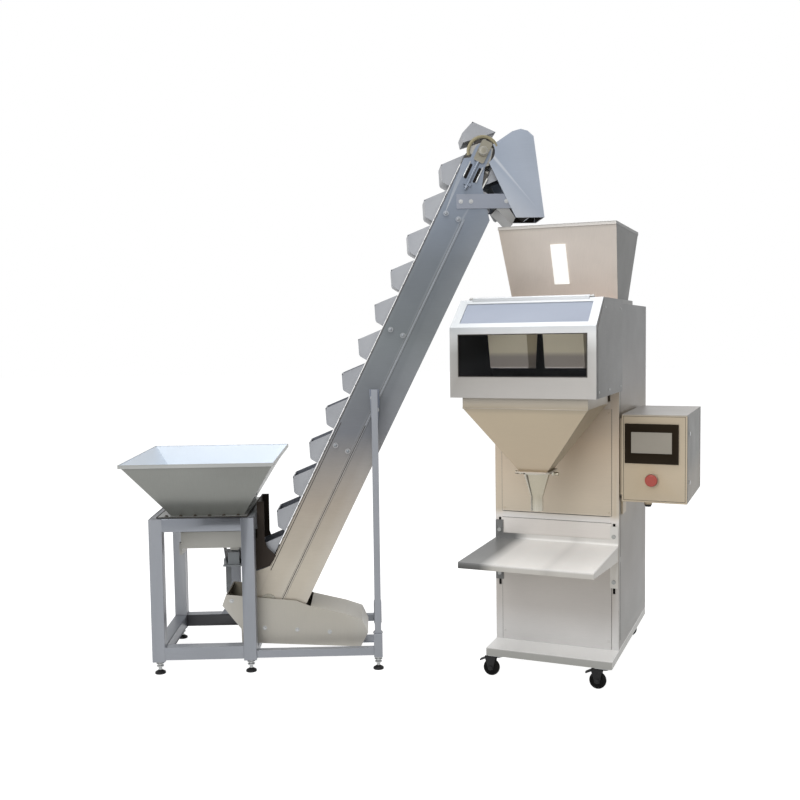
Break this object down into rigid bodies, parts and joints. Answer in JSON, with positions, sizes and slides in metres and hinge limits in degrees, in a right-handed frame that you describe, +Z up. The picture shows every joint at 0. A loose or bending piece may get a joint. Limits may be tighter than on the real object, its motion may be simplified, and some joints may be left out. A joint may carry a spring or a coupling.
{
  "type": "granule filling machine",
  "caption": "free-standing weigh filler for granules on casters, fed by an inclined bucket lift with a vibrating feeder under a square hopper",
  "frame": {"origin": "centre of the whole object's base, on the floor", "axes": "+X along the lift from the feed hopper to the filler, +Y to the rear, +Z up"},
  "size_m": [2.2878, 1.2194, 2.1496],
  "materials": {
    "stand_paint": "satin",
    "lift_sheet": "brushed",
    "filler_sheet": "brushed",
    "polished": "polished",
    "dark_metal": "satin",
    "machined": "machined",
    "chain_steel": "oiled",
    "motor_paint": "satin",
    "black_plastic": "matte",
    "wear_plastic": "matte",
    "box_grey": "satin",
    "caster_tread": "matte",
    "zinc": "satin",
    "clear_pane": "clear",
    "panel_black": "gloss",
    "stop_red": "gloss"
  },
  "bodies": {
    "machine": {"stand_frame": "stand_paint", "levelling_feet": "black_plastic", "leg_brackets": "lift_sheet", "feed_hopper": "lift_sheet", "feeder_drive": "motor_paint", "inlet_guard": "dark_metal", "side_plates": "lift_sheet", "return_cover": "lift_sheet", "tie_rods": "zinc", "guide_rails": "wear_plastic", "shaft_bearings": "machined", "takeup_screws": "zinc", "gear_motor": "motor_paint", "discharge_hood": "lift_sheet", "spill_chute": "lift_sheet", "boot": "filler_sheet", "base_tray": "filler_sheet", "caster_plates": "zinc", "column_frame": "filler_sheet", "column_panels": "filler_sheet", "door_hinges": "zinc", "top_hopper": "filler_sheet", "sight_window": "clear_pane", "head_case": "filler_sheet", "feed_drives": "motor_paint", "weigh_buckets": "filler_sheet", "load_cells": "machined", "funnel": "filler_sheet", "spout": "polished", "control_box": "box_grey", "hmi_panel": "panel_black", "stop_collar": "black_plastic"},
    "feeder": {"feeder_tray": "lift_sheet"},
    "up_run": {"up_chain": "chain_steel", "up_buckets": "lift_sheet"},
    "down_run": {"down_chain": "chain_steel", "down_buckets": "lift_sheet"},
    "head_rotor": {"head_shaft": "machined", "head_links": "lift_sheet"},
    "tail_rotor": {"tail_shaft": "machined", "tail_links": "lift_sheet"},
    "rear_door": {"rear_door": "filler_sheet"},
    "bag_shelf": {"bag_tray": "filler_sheet", "tray_bolts": "zinc"},
    "front_cover": {"window_cover": "filler_sheet", "cover_panes": "clear_pane"},
    "feed_channels": {"feed_pans": "filler_sheet"},
    "flap_left": {"flap_left": "filler_sheet"},
    "flap_right": {"flap_right": "filler_sheet"},
    "stop_button": {"stop_button": "stop_red"},
    "caster_front_left": {"caster_fork_front_left": "zinc"},
    "wheel_front_left": {"caster_wheel_front_left": "caster_tread"},
    "brake_front_left": {"brake_pedal_front_left": "black_plastic"},
    "caster_front_right": {"caster_fork_front_right": "zinc"},
    "wheel_front_right": {"caster_wheel_front_right": "caster_tread"},
    "brake_front_right": {"brake_pedal_front_right": "black_plastic"},
    "caster_rear_left": {"caster_fork_rear_left": "zinc"},
    "wheel_rear_left": {"caster_wheel_rear_left": "caster_tread"},
    "caster_rear_right": {"caster_fork_rear_right": "zinc"},
    "wheel_rear_right": {"caster_wheel_rear_right": "caster_tread"}
  },
  "joints": [
    {"name": "feeder_swing", "type": "slide", "parent": "machine", "child": "feeder", "axis": [1, 0, 0], "range_m": [-0.001, 0.001], "stiffness_N_per_m": 60000},
    {"name": "up_run_travel", "type": "slide", "parent": "machine", "child": "up_run", "axis": [0.4437, 0, 0.8962], "range_m": [-0.014, 0.0368]},
    {"name": "down_run_travel", "type": "slide", "parent": "machine", "child": "down_run", "axis": [-0.4437, 0, -0.8962], "range_m": [-0.014, 0.0368]},
    {"name": "head_shaft_turn", "type": "hinge", "parent": "machine", "child": "head_rotor", "pos_m": [0.27361, 0.21615, 2.02841], "axis": [0, 1, 0], "range_deg": [-16.54, 43.46]},
    {"name": "tail_shaft_turn", "type": "hinge", "parent": "machine", "child": "tail_rotor", "pos_m": [-0.60544, 0.21615, 0.2529], "axis": [0, 1, 0], "range_deg": [-16.54, 43.46]},
    {"name": "rear_door_hinge", "type": "hinge", "parent": "machine", "child": "rear_door", "pos_m": [0.55739, 0.60367, 0.6], "axis": [0, 0, 1], "range_deg": [0, 100]},
    {"name": "tray_height", "type": "slide", "parent": "machine", "child": "bag_shelf", "axis": [0, 0, 1], "range_m": [-0.04, 0.04]},
    {"name": "cover_lift", "type": "hinge", "parent": "machine", "child": "front_cover", "pos_m": [0.37492, -0.39234, 1.4385], "axis": [-0.91, 0.4147, 0], "range_deg": [0, 80]},
    {"name": "channel_swing", "type": "slide", "parent": "machine", "child": "feed_channels", "axis": [0.4147, 0.91, 0], "range_m": [-0.001, 0.001], "stiffness_N_per_m": 60000},
    {"name": "stop_press", "type": "slide", "parent": "machine", "child": "stop_button", "axis": [0.4147, 0.91, 0], "range_m": [0, 0.005], "stiffness_N_per_m": 1500},
    {"name": "flap_left_swing", "type": "hinge", "parent": "machine", "child": "flap_left", "pos_m": [0.3594, -0.18525, 1.192], "axis": [0.91, -0.4147, 0], "range_deg": [0, 50]},
    {"name": "flap_right_swing", "type": "hinge", "parent": "machine", "child": "flap_right", "pos_m": [0.54139, -0.26819, 1.192], "axis": [0.91, -0.4147, 0], "range_deg": [0, 50]},
    {"name": "swivel_front_left", "type": "hinge", "parent": "machine", "child": "caster_front_left", "pos_m": [0.29205, -0.07983, 0.079], "axis": [0, 0, 1], "continuous": true},
    {"name": "roll_front_left", "type": "hinge", "parent": "caster_front_left", "child": "wheel_front_left", "pos_m": [0.27021, -0.06988, 0.0315], "axis": [0.4147, 0.91, 0], "continuous": true},
    {"name": "brake_front_left_step", "type": "hinge", "parent": "caster_front_left", "child": "brake_front_left", "pos_m": [0.25565, -0.06325, 0.071], "axis": [-0.4147, -0.91, 0], "range_deg": [0, 20]},
    {"name": "swivel_front_right", "type": "hinge", "parent": "machine", "child": "caster_front_right", "pos_m": [0.66513, -0.24986, 0.079], "axis": [0, 0, 1], "continuous": true},
    {"name": "roll_front_right", "type": "hinge", "parent": "caster_front_right", "child": "wheel_front_right", "pos_m": [0.64329, -0.23991, 0.0315], "axis": [0.4147, 0.91, 0], "continuous": true},
    {"name": "brake_front_right_step", "type": "hinge", "parent": "caster_front_right", "child": "brake_front_right", "pos_m": [0.62874, -0.23327, 0.071], "axis": [-0.4147, -0.91, 0], "range_deg": [0, 20]},
    {"name": "swivel_rear_left", "type": "hinge", "parent": "machine", "child": "caster_rear_left", "pos_m": [0.57321, 0.53712, 0.079], "axis": [0, 0, 1], "continuous": true},
    {"name": "roll_rear_left", "type": "hinge", "parent": "caster_rear_left", "child": "wheel_rear_left", "pos_m": [0.55137, 0.54707, 0.0315], "axis": [0.4147, 0.91, 0], "continuous": true},
    {"name": "swivel_rear_right", "type": "hinge", "parent": "machine", "child": "caster_rear_right", "pos_m": [0.9463, 0.3671, 0.079], "axis": [0, 0, 1], "continuous": true},
    {"name": "roll_rear_right", "type": "hinge", "parent": "caster_rear_right", "child": "wheel_rear_right", "pos_m": [0.92446, 0.37705, 0.0315], "axis": [0.4147, 0.91, 0], "continuous": true}
  ],
  "couplings": [
    {"joint": "down_run_travel", "follows": "up_run_travel", "ratio": 1},
    {"joint": "head_shaft_turn", "follows": "up_run_travel", "rad_per_m": 20.614},
    {"joint": "tail_shaft_turn", "follows": "up_run_travel", "rad_per_m": 20.614}
  ]
}
